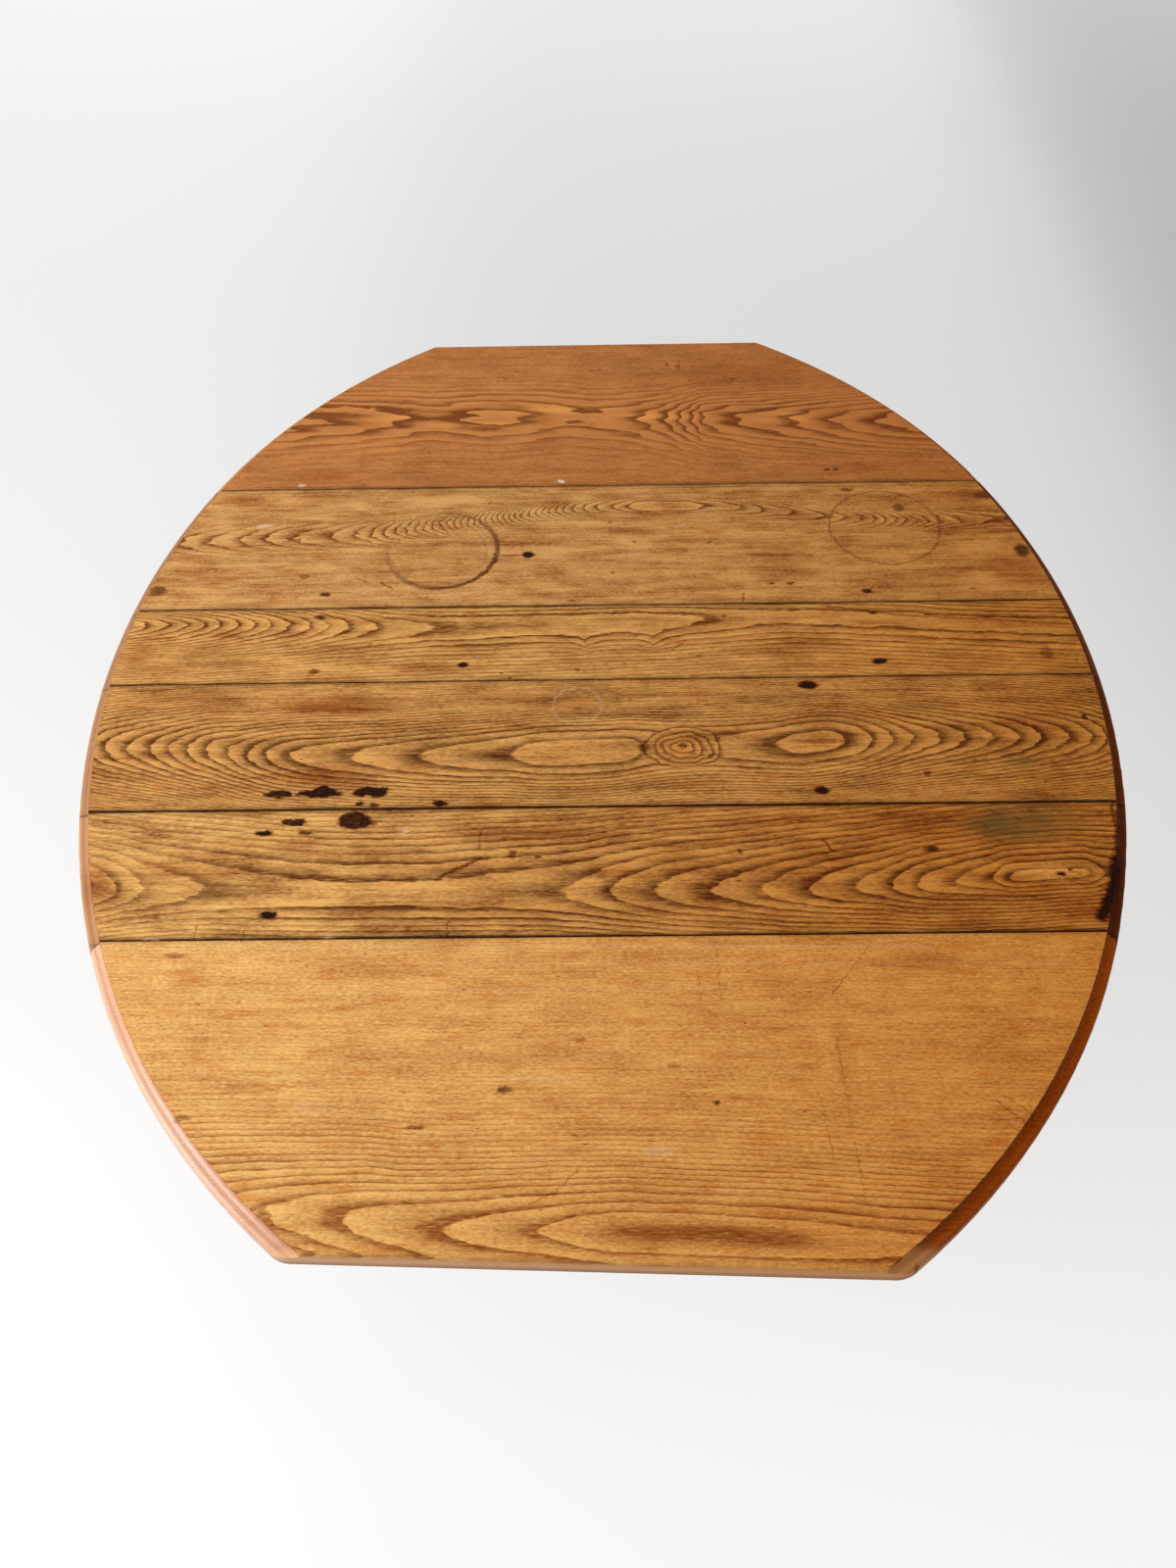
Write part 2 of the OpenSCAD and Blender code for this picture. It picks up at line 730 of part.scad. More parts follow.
// Iron brackets on an apron: a plate and two ears that carry the pivot pin
module prop_brackets() {
  ear_x = arm_w / 2 + ear_gap;
  difference() {
    for (x = [-prop_x, prop_x]) translate([x, 0, 0]) at_axis() translate([0, pivot_s, pivot_z]) difference() {
      union() {
        translate([-bracket_plate_w / 2, -bracket_reach, -bracket_plate_h / 2])
          cube([bracket_plate_w, iron_t, bracket_plate_h]);
        for (e = [-ear_x - iron_t, ear_x]) translate([e, 0, 0]) {
          translate([0, -bracket_reach, -ear_r]) cube([iron_t, bracket_reach, 2 * ear_r]);
          rotate([0, 90, 0]) cylinder(h = iron_t, r = ear_r);
        }
      }
      rotate([0, 90, 0]) cylinder(h = 4 * arm_w, r = prop_pin_r + pin_gap, center = true);
    }
    bracket_screw_holes();
  }
}

// Pivot pins with a round head on one end and a washer riveted on the other
module prop_pins() {
  shank = arm_w + 2 * (ear_gap + iron_t);
  for (x = [-prop_x, prop_x]) translate([x, 0, 0]) at_axis() translate([-shank / 2, pivot_s, pivot_z])
    rotate([0, 90, 0]) rotate_extrude($fn = 32)
      polygon([
        [0, -3], [prop_pin_r, -3], [prop_pin_r + 2, -1.5], [prop_pin_r + 2, -0.1], [prop_pin_r, -0.1],
        [prop_pin_r, shank + 0.1], [prop_pin_r + 1.5, shank + 0.1], [prop_pin_r + 1.5, shank + 1],
        [prop_pin_r, shank + 2], [0, shank + 2]
      ]);
}

module prop_brackets_back() { color(iron) prop_brackets(); }
module prop_brackets_front() { color(iron) to_side(true) prop_brackets(); }
module prop_pins_back() { color(steel) prop_pins(); }
module prop_pins_front() { color(steel) to_side(true) prop_pins(); }

module bracket_screws() {
  color(steel) for (front = [false, true]) to_side(front) at_bracket_screws()
    screw(wood_screw_r, bracket_screw_l);
}

top_board_back();
top_board_second();
top_board_third();
top_board_front();
leaf_board_back();
leaf_board_front();
leg_front_left();
leg_front_right();
leg_back_left();
leg_back_right();
apron_front();
apron_back();
apron_left();
apron_right();
middle_rail();
joint_pegs();
glue_blocks();
top_screws();
hinge_short_plates_front();
hinge_short_plates_back();
hinge_long_plates_front();
hinge_long_plates_back();
hinge_pins_front();
hinge_pins_back();
hinge_screws_top();
hinge_screws_leaf_front();
hinge_screws_leaf_back();
battens_front();
battens_back();
batten_screws_front();
batten_screws_back();
prop_arm_front_left();
prop_arm_front_right();
prop_arm_back_left();
prop_arm_back_right();
prop_brackets_front();
prop_brackets_back();
prop_pins_front();
prop_pins_back();
bracket_screws();
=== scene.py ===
"""Looks of the drop-leaf table: materials, edges, floor, lights and camera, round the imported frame."""
import math
from functools import reduce

import bpy
from mathutils import Matrix, Vector

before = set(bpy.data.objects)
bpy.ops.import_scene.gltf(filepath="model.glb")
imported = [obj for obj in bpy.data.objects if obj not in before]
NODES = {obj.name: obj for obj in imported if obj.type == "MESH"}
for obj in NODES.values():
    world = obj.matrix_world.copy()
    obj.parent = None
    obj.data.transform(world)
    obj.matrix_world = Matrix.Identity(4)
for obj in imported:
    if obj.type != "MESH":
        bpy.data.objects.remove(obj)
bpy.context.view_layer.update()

MM_PER_M = 1000
# Height of the top's surface in mm, and about where its middle is in m
TABLE_H = 737.0
TOP_MIDDLE = (0, 0, 0.7)


class Num:
    """A number in a node tree. Arithmetic on it builds Math nodes."""

    def __init__(self, g, socket):
        self.g = g
        self.socket = socket

    def __add__(self, other):
        return self.g.math("ADD", self, other)

    __radd__ = __add__

    def __sub__(self, other):
        return self.g.math("SUBTRACT", self, other)

    def __rsub__(self, other):
        return self.g.math("SUBTRACT", other, self)

    def __mul__(self, other):
        return self.g.math("MULTIPLY", self, other)

    __rmul__ = __mul__

    def __truediv__(self, other):
        return self.g.math("DIVIDE", self, other)

    def __pow__(self, other):
        return self.g.math("POWER", self, other)


def rgba(color):
    """A colour with the alpha that a socket takes. One that comes from a node is left alone."""
    return (*color, 1.0) if isinstance(color, tuple) else color


class Graph:
    """The node tree of a material or of the world, with short calls for the nodes used here."""

    def __init__(self, owner, output="ShaderNodeOutputMaterial"):
        owner.use_nodes = True
        self.owner = owner
        self.tree = owner.node_tree
        self.tree.nodes.clear()
        self.output = self.new(output)

    def new(self, kind, **settings):
        node = self.tree.nodes.new(kind)
        for key, value in settings.items():
            setattr(node, key, value)
        return node

    def put(self, socket, value):
        """Links a number or a node's output to a socket, or sets a plain value on it."""
        if isinstance(value, Num):
            value = value.socket
        if isinstance(value, bpy.types.NodeSocket):
            self.tree.links.new(value, socket)
        else:
            socket.default_value = value

    def finish(self, shader):
        self.put(self.output.inputs["Surface"], shader.outputs[0])
        return self.owner

    def math(self, op, *values, clamp=False):
        node = self.new("ShaderNodeMath", operation=op, use_clamp=clamp)
        for socket, value in zip(node.inputs, values):
            self.put(socket, value)
        return Num(self, node.outputs[0])

    def clamp(self, value):
        return self.math("ADD", value, 0.0, clamp=True)

    def abs(self, value):
        return self.math("ABSOLUTE", value)

    def fade(self, distance, reach):
        """1 at no distance, and less by a factor e for each reach."""
        return self.math("EXPONENT", self.abs(distance) * (-1 / reach))

    def coords(self):
        """The three coordinates of the table's frame, in m."""
        node = self.new("ShaderNodeTexCoord")
        split = self.new("ShaderNodeSeparateXYZ")
        self.put(split.inputs[0], node.outputs["Object"])
        return [Num(self, socket) for socket in split.outputs]

    def vmath(self, op, *values):
        """Vector arithmetic. A length or dot product comes back as a number."""
        node = self.new("ShaderNodeVectorMath", operation=op)
        for socket, value in zip(node.inputs, values):
            self.put(socket, value)
        if op in ("LENGTH", "DOT_PRODUCT"):
            return Num(self, node.outputs["Value"])
        return node.outputs["Vector"]

    def vector(self, x, y, z=0.0):
        node = self.new("ShaderNodeCombineXYZ")
        for socket, value in zip(node.inputs, (x, y, z)):
            self.put(socket, value)
        return node.outputs[0]

    def noise_node(self, vector, scale, detail=2.0, rough=0.5):
        node = self.new("ShaderNodeTexNoise")
        self.put(node.inputs["Vector"], vector)
        for key, value in (("Scale", scale), ("Detail", detail), ("Roughness", rough)):
            node.inputs[key].default_value = value
        return node

    def noise(self, vector, detail=2.0, rough=0.5):
        """Noise in -0.5 to 0.5 or so, of coordinates that are already scaled."""
        return Num(self, self.noise_node(vector, 1.0, detail, rough).outputs["Fac"]) - 0.5

    def cells(self, x, y, seed, length, width, detail=2.0, rough=0.5):
        """Noise with patches of one length in x and another in y."""
        return self.noise(self.vector(x * (1 / length), y * (1 / width), seed), detail, rough)

    def wobble(self, vector, scale, reach):
        """A point moved by noise, so that drawn shapes get uneven outlines."""
        shift = self.vmath("SUBTRACT", self.noise_node(vector, scale).outputs["Color"], (0.5, 0.5, 0.5))
        return self.vmath("ADD", vector, self.vmath("MULTIPLY", shift, (2 * reach, reach, 0)))

    def seen(self):
        """1 for what the camera, a mirror or glass shows, 0 for light that falls on things."""
        node = self.new("ShaderNodeLightPath")
        kinds = ("Is Camera Ray", "Is Glossy Ray", "Is Transmission Ray")
        first, second, third = [Num(self, node.outputs[kind]) for kind in kinds]
        return self.math("MAXIMUM", self.math("MAXIMUM", first, second), third)

    def step(self, value, low, high):
        """Smooth 0 to 1 as the value goes from low to high."""
        node = self.new("ShaderNodeMapRange", interpolation_type="SMOOTHSTEP")
        for key, v in (("Value", value), ("From Min", low), ("From Max", high)):
            self.put(node.inputs[key], v)
        return Num(self, node.outputs[0])

    def curve(self, value, points):
        """A smooth curve through points (value, result)."""
        start, end = points[0][0], points[-1][0]
        results = [result for _, result in points]
        low, span = min(results), max(results) - min(results)
        node = self.new("ShaderNodeFloatCurve")
        curve = node.mapping.curves[0]
        for i, (at, result) in enumerate(points):
            place = ((at - start) / (end - start), (result - low) / span)
            # The node has two points from the start
            if i < 2:
                curve.points[i].location = place
            else:
                curve.points.new(*place)
        for point in curve.points:
            point.handle_type = "AUTO_CLAMPED"
        node.mapping.update()
        self.put(node.inputs["Value"], (value - start) / (end - start))
        return Num(self, node.outputs[0]) * span + low

    def mix(self, factor, a, b, blend="MIX"):
        node = self.new("ShaderNodeMix", data_type="RGBA", blend_type=blend)
        self.put(node.inputs["Factor"], factor)
        # The colour sockets follow those of the other kinds of data
        self.put(node.inputs[6], rgba(a))
        self.put(node.inputs[7], rgba(b))
        return node.outputs[2]

    def tint(self, factor, color, by):
        """The colour times another one, as far as the factor says."""
        return self.mix(factor, color, by, "MULTIPLY")

    def blend(self, factor, a, b):
        """Number a where factor is 0, b where it is 1."""
        return a * (1 - factor) + b * factor

    def bump(self, height, distance, strength):
        node = self.new("ShaderNodeBump")
        self.put(node.inputs["Height"], height)
        node.inputs["Distance"].default_value = distance
        node.inputs["Strength"].default_value = strength
        return node.outputs[0]

    def surface(self, color, roughness, normal, **inputs):
        """A surface whose other sockets are named with underscores for spaces."""
        node = self.new("ShaderNodeBsdfPrincipled")
        self.put(node.inputs["Base Color"], color)
        self.put(node.inputs["Roughness"], roughness)
        self.put(node.inputs["Normal"], normal)
        for key, value in inputs.items():
            self.put(node.inputs[key.replace("_", " ")], value)
        return self.finish(node)


def dress(material, *names):
    for name in names:
        mesh = NODES[name].data
        mesh.materials.clear()
        mesh.materials.append(material)


# The camera stands as the photograph's did: its place in m, its pitch below the horizon, yaw to the
# left and roll in degrees, and its focal length in pixels of a frame 1600 high
CAMERA_AT = (0.0012, -0.9192, 1.7347)
CAMERA_ANGLES = (52.07, 0.96, -1.4)
FOCAL_LENGTH, FRAME_HEIGHT = 1300.8, 1600
SENSOR = 36


def link(name, data):
    thing = bpy.data.objects.new(name, data)
    bpy.context.scene.collection.objects.link(thing)
    return thing


def set_camera():
    data = bpy.data.cameras.new("camera")
    data.sensor_width = SENSOR
    data.lens = SENSOR * FOCAL_LENGTH / FRAME_HEIGHT
    camera = link("camera", data)
    bpy.context.scene.camera = camera
    pitch, yaw, roll = [math.radians(angle) for angle in CAMERA_ANGLES]
    forward = Vector((-math.sin(yaw) * math.cos(pitch), math.cos(yaw) * math.cos(pitch), -math.sin(pitch)))
    level = Vector((math.cos(yaw), math.sin(yaw), 0))
    up = math.cos(roll) * level.cross(forward) - math.sin(roll) * level
    right = forward.cross(up).normalized()
    columns = (right, up, -forward, Vector(CAMERA_AT))
    camera.matrix_world = Matrix([[column[i] for column in columns] for i in range(3)] + [(0, 0, 0, 1)])


def area_light(name, place, size, power):
    """A rectangular lamp that points at the middle of the table's top."""
    data = bpy.data.lights.new(name, "AREA")
    data.shape = "RECTANGLE"
    data.size, data.size_y = size
    data.energy = power
    lamp = link(name, data)
    lamp.location = place
    toward = Vector(TOP_MIDDLE) - Vector(place)
    lamp.rotation_mode = "QUATERNION"
    lamp.rotation_quaternion = toward.normalized().to_track_quat("-Z", "Y")


set_camera()
area_light("window", (-3.0, -0.5, 1.9), (2.6, 2.2), 130)
area_light("skylight", (-1.7, 1.7, 3.1), (1.8, 1.8), 45)

bpy.context.scene.view_settings.view_transform = "Standard"

# The backdrop lights things less than it shows
WORLD_LIGHT, WORLD_SHOWN = 0.4, 0.88


def make_backdrop():
    g = Graph(bpy.data.worlds.new("world"), "ShaderNodeOutputWorld")
    backdrop = g.new("ShaderNodeBackground")
    backdrop.inputs["Color"].default_value = (1, 1, 1, 1)
    g.put(backdrop.inputs["Strength"], g.seen() * (WORLD_SHOWN - WORLD_LIGHT) + WORLD_LIGHT)
    bpy.context.scene.world = g.finish(backdrop)


make_backdrop()

# How white the floor shows, by the place in m: less to the right and to the back, as painted shade, with a
# painted soft shadow to the right of the table
FLOOR_SIDEWAYS = [
    (-2.5, 0.11), (-1.0, 0.10), (0, 0), (0.7, 0), (1.1, -0.05), (1.8, -0.24), (2.6, -0.12), (3.5, 0), (5, 0),
]
FLOOR_BACK = [
    (-1.5, 1.0), (-0.8, 0.99), (-0.5, 0.95), (-0.25, 0.9), (0.4, 0.8), (1.4, 0.75), (2.5, 0.79), (3.5, 0.87),
    (5, 0.96),
]
# Far off it is plain, to match the backdrop
FLOOR_FAR, FAR_FROM, FAR_TO = 0.97, 3.8, 6.5
# Half of the floor's side, in m
FLOOR_REACH = 30
# What is seen of the floor is mostly its own level, so that lamps and shadows only show softly
OWN_SHARE, OWN_GAIN = 0.85, 1.18
FLOOR_TINT = (1.0, 0.992, 0.984)


def make_floor():
    mesh = bpy.data.meshes.new("floor")
    corners = [(x * FLOOR_REACH, y * FLOOR_REACH, 0) for x, y in ((-1, -1), (1, -1), (1, 1), (-1, 1))]
    mesh.from_pydata(corners, [], [(0, 1, 2, 3)])
    link("floor", mesh)
    g = Graph(bpy.data.materials.new("floor"))
    x, y = g.coords()[:2]
    far = g.step(g.vmath("LENGTH", g.vector(x, y)), FAR_FROM, FAR_TO)
    # The level carries the painted shade to the right and to the back
    level = g.blend(far, g.curve(x, FLOOR_SIDEWAYS) + g.curve(y, FLOOR_BACK), FLOOR_FAR)
    level = (level - (1 - OWN_SHARE)) * OWN_GAIN
    lit = g.new("ShaderNodeBsdfDiffuse")
    lit.inputs["Color"].default_value = (0.9, 0.9, 0.9, 1)
    shown = g.new("ShaderNodeEmission")
    g.put(shown.inputs["Color"], g.vmath("MULTIPLY", g.vector(level, level, level), FLOOR_TINT))
    both = g.new("ShaderNodeMixShader")
    for socket, value in zip(both.inputs, (g.seen() * OWN_SHARE, lit.outputs[0], shown.outputs[0])):
        g.put(socket, value)
    mesh.materials.append(g.finish(both))


make_floor()


def rgb(red, green, blue):
    """A colour written in display values, as the linear values that shaders take."""
    return tuple(((v / 255 + 0.055) / 1.055) ** 2.4 if v > 10 else v / 3294.6 for v in (red, green, blue))


# Growth ring figure and colours of each board of the top. Places are in mm in the table's frame.
# centre is the line over the pith and depth its distance below the surface along that line. rings
# gives the ring number at a distance from the pith. up and down stretch the figure across the grain.
# scallops are waves in the lines (x, width, from y, to y, push) and knots have rings of their own
# (x, y, half length, half width, count). sway and jitter are how uneven the lines are, ripple a wave
# in them, ragged how broken, band how far each fades out, and lines how strong they are. The figure
# shows within visible of the centre line, as far as far says beyond that, and in pale_end it fades
# by an amount from one x to another. light, dark and line are colours, and glow pales the wood
# between the lines. pore is the size of the pores. grain, streak and patch are how much the pores,
# the streaks and the wear shade the wood, and rust how much its red patches do. edges are the
# board's joints (y, width, strength). From one x to the other in amber, the wood gets darker by tint,
# towards far_color. rim has the moulding's colours at the left and at the right, gloss is the level
# of reflection, and seed keeps the noises of the boards apart.
# Each rim pair is the moulding's own colour, with painted highlight in the left one and painted shade in the
# right one.
FIGURES = {
    "leaf_board_back": {
        "centre": [
            (-470, 452), (-340, 455), (-230, 458), (-130, 457), (-60, 459), (0, 452), (80, 449),
            (150, 447), (220, 442), (300, 440), (470, 436),
        ],
        "depth": [
            (-470, 50.2), (-380, 51.5), (-300, 53.2), (-250, 55), (-205, 56.2), (-170, 55.2),
            (-130, 54.3), (-90, 55.2), (-60, 56.4), (-25, 57.8), (0, 57.6), (30, 56.6), (58, 55),
            (90, 52), (108, 49), (125, 46), (139, 43), (180, 40), (250, 36.5), (295, 33), (335, 30),
            (380, 27), (470, 24),
        ],
        "rings": [(0, 0), (24, 6), (40, 10), (55, 15), (60, 16.5), (80, 22), (120, 36), (200, 76)],
        "up": 0.66, "down": 0.52, "sway": 2.0, "jitter": 0.3, "seed": 1.0, "visible": 50,
        "far": 0.12, "light": (184, 119, 64), "dark": (96, 46, 14), "tint": 0.55, "lines": 1.0,
        "pore": (6, 2.2), "grain": 1.0, "streak": 0.6, "patch": 0.8, "gloss": 0.07,
        "edges": [(317, 2.0, 0.68)], "line": (112, 58, 20), "amber": (-150, 560), "glow": 0.8,
        "rim": ((180, 136, 96), (168, 82, 10)), "ripple": 0.4, "band": 0.58,
    },
    "top_board_back": {
        "centre": [
            (-520, 222), (-400, 229), (-300, 233), (-200, 247), (-100, 263), (0, 277), (90, 278),
            (200, 268), (300, 252), (380, 247), (520, 246),
        ],
        "depth": [
            (-520, 85), (-400, 78), (-375, 76), (-345, 74.5), (-312, 73), (-287, 71.5), (-268, 70),
            (-250, 68), (-235, 66.4), (-80, 36), (-64, 32), (-47, 27.5), (-28, 22.3), (-15, 19.5),
            (0, 16.5), (20, 13), (40, 9), (60, 4), (100, 4), (125, 9), (170, 13), (195, 16.5),
            (232, 19.5), (265, 22.3), (290, 25), (310, 27.5), (325, 29.8), (338, 32), (350, 34),
            (372, 37.6), (400, 41), (425, 43), (520, 46),
        ],
        "rings": [
            (0, 0), (9, 1), (13, 2), (16.5, 3), (19.5, 4), (22.3, 5), (25, 6), (27.5, 7), (29.8, 8),
            (32, 9), (36, 11), (68, 31), (73, 34), (85, 40), (200, 110),
        ],
        "up": 1.0, "down": 1.0, "sway": 1.0, "jitter": 0.5, "seed": 2.0, "visible": 19, "far": 0.2,
        "light": (205, 155, 92), "dark": (132, 70, 24), "tint": 0.75, "lines": 1.0,
        "pore": (4.5, 2.2), "grain": 1.1, "streak": 1.2, "patch": 1.8, "gloss": 0.05,
        "edges": [(110.5, 1.6, 1.22), (317, 2.4, 0.94)], "line": (106, 54, 16),
        "amber": (-150, 560), "rim": ((154, 116, 84), (128, 64, 6)), "glow": 0.06,
    },
    "top_board_second": {
        "centre": [
            (-530, 88), (-450, 88), (-300, 84), (-180, 80), (-60, 82), (60, 86), (120, 88),
            (200, 90), (300, 85), (400, 77), (530, 68),
        ],
        "depth": [
            (-530, 17), (-500, 21), (-457, 27), (-418, 33), (-380, 39), (-342, 45), (-318, 48),
            (-300, 51), (-275, 54), (-245, 57), (-183, 60), (-100, 61), (0, 61.3), (60, 61.6),
            (115, 63), (160, 64.6), (200, 65.3), (300, 65), (400, 65.2), (530, 65),
        ],
        "rings": [(0, 0), (60, 20), (63, 21), (70, 23.2), (90, 29), (140, 42)], "up": 1.25,
        "down": 0.95, "sway": 1.2, "jitter": 0.5, "seed": 3.0, "visible": 46, "far": 0.5,
        "scallops": [(-15, 11, 36, 84, 9), (60, 11, 36, 84, 11)], "light": (218, 164, 92),
        "dark": (118, 60, 14), "tint": 0.9, "lines": 0.95, "pore": (6, 2.0), "grain": 0.9,
        "streak": 1.1, "patch": 1.2, "gloss": 0.05,
        "edges": [(-1.5, 1.6, 1.08), (110.5, 1.6, 1.22)], "line": (96, 44, 10),
        "amber": (-150, 560), "rim": ((154, 116, 84), (128, 64, 6)), "glow": 0.06,
    },
    "top_board_third": {
        "centre": [
            (-530, -84), (-450, -88), (-400, -91), (-350, -98), (-250, -103), (-180, -104),
            (-90, -102), (0, -100), (85, -95), (150, -95), (200, -93), (248, -88), (400, -86),
            (530, -86),
        ],
        "depth": [
            (-530, 75), (-505, 71), (-482, 68), (-458, 64.9), (-438, 61.7), (-419, 58.5),
            (-401, 55.3), (-377, 52), (-357, 48.5), (-338, 45), (-312, 41), (-250, 36),
            (-180, 29.5), (-88, 20), (-40, 13), (10, 13), (45, 20), (85, 25), (115, 26), (150, 24),
            (185, 19.5), (215, 15), (248, 20), (276, 29.5), (297, 36), (318, 41), (345, 45),
            (370, 48.5), (398, 52), (425, 55.3), (447, 58.5), (475, 61.7), (498, 64.9), (530, 72),
        ],
        "rings": [
            (0, 0), (20, 1), (29.5, 2), (36, 3), (41, 4), (45, 5), (48.5, 6), (52, 7), (71, 13),
            (80, 16.2), (120, 33),
        ],
        "knots": [(85, -96, 37, 25, 4)], "up": 1.0, "down": 1.0, "sway": 1.2, "jitter": 0.5,
        "seed": 4.0, "visible": 70, "far": 0.5, "light": (214, 158, 88), "dark": (104, 44, 4),
        "tint": 0.8, "lines": 0.92, "pore": (6, 1.9), "grain": 1.2, "streak": 1.2, "patch": 1.4,
        "gloss": 0.04, "edges": [(-170, 1.6, 1.62), (-1.5, 1.6, 1.08)], "line": (94, 51, 19),
        "amber": (-150, 560), "rim": ((158, 118, 84), (120, 58, 4)), "glow": 0.1, "band": 0.5,
    },
    "top_board_front": {
        "centre": [
            (-500, -262), (-380, -264), (-200, -272), (-60, -270), (100, -270), (250, -267),
            (350, -261), (420, -256), (510, -252),
        ],
        "depth": [
            (-500, 47), (-490, 49), (-460, 54), (-435, 59), (-378, 64), (-300, 67), (-200, 68),
            (-100, 66.5), (-30, 64), (15, 59), (60, 54), (118, 49), (165, 44), (210, 39), (253, 34),
            (280, 29), (303, 24), (338, 19), (367, 14), (400, 5), (440, 5), (470, 14), (510, 19),
        ],
        "rings": [(0, 0), (14, 2), (69, 13), (80, 15.4), (110, 24), (160, 44)], "up": 0.82,
        "down": 1.25, "sway": 1.2, "jitter": 0.5, "seed": 5.0, "visible": 70, "far": 0.6,
        "light": (230, 178, 104), "dark": (110, 46, 6), "tint": 1.0, "lines": 0.86,
        "pore": (6, 1.9), "grain": 1.1, "streak": 1.1, "patch": 1.4, "gloss": 0.04,
        "edges": [(-317, 2.0, 1.35), (-170, 1.6, 1.62)], "line": (92, 47, 15), "amber": (-460, 400),
        "rim": ((172, 128, 90), (120, 58, 4)), "glow": 0.06, "pale_end": (-120, -420, 0.4),
        "far_color": (0.72, 0.48, 0.25), "band": 0.5,
    },
    "leaf_board_front": {
        "centre": [
            (-480, -560), (-300, -566), (-205, -573), (-125, -581), (-48, -583), (50, -586),
            (150, -591), (250, -597), (480, -604),
        ],
        "depth": [
            (-480, 56), (-330, 44), (-265, 38), (-205, 31.5), (-125, 23.5), (-48, 15.5), (-10, 9),
            (30, 4), (130, 4), (170, 8), (215, 12), (260, 15), (480, 24),
        ],
        "rings": [
            (0, 0), (8, 0.35), (15.5, 1), (23.5, 2), (31.5, 3), (38, 4), (43, 5), (70, 11),
            (110, 20), (300, 75),
        ],
        "up": 1.0, "down": 1.0, "sway": 1.2, "jitter": 0.55, "seed": 6.0, "visible": 80,
        "far": 0.16, "light": (242, 190, 114), "dark": (160, 86, 36), "tint": 0.9, "lines": 0.8,
        "pore": (4.6, 1.6), "grain": 1.35, "streak": 0.8, "patch": 0.8, "gloss": 0.06,
        "edges": [(-317, 1.6, 0.68)], "line": (140, 78, 32), "amber": (-480, 460),
        "rim": ((214, 168, 138), (202, 104, 6)), "glow": 0.12, "ragged": 2.6,
        "far_color": (0.78, 0.54, 0.27), "rust": 0.62,
    },
}
# What the wood is multiplied by towards the right end, where it has faded less
AMBER = (0.82, 0.60, 0.30)
SEAM_DIRT = (0.026, 0.006, 0.002)

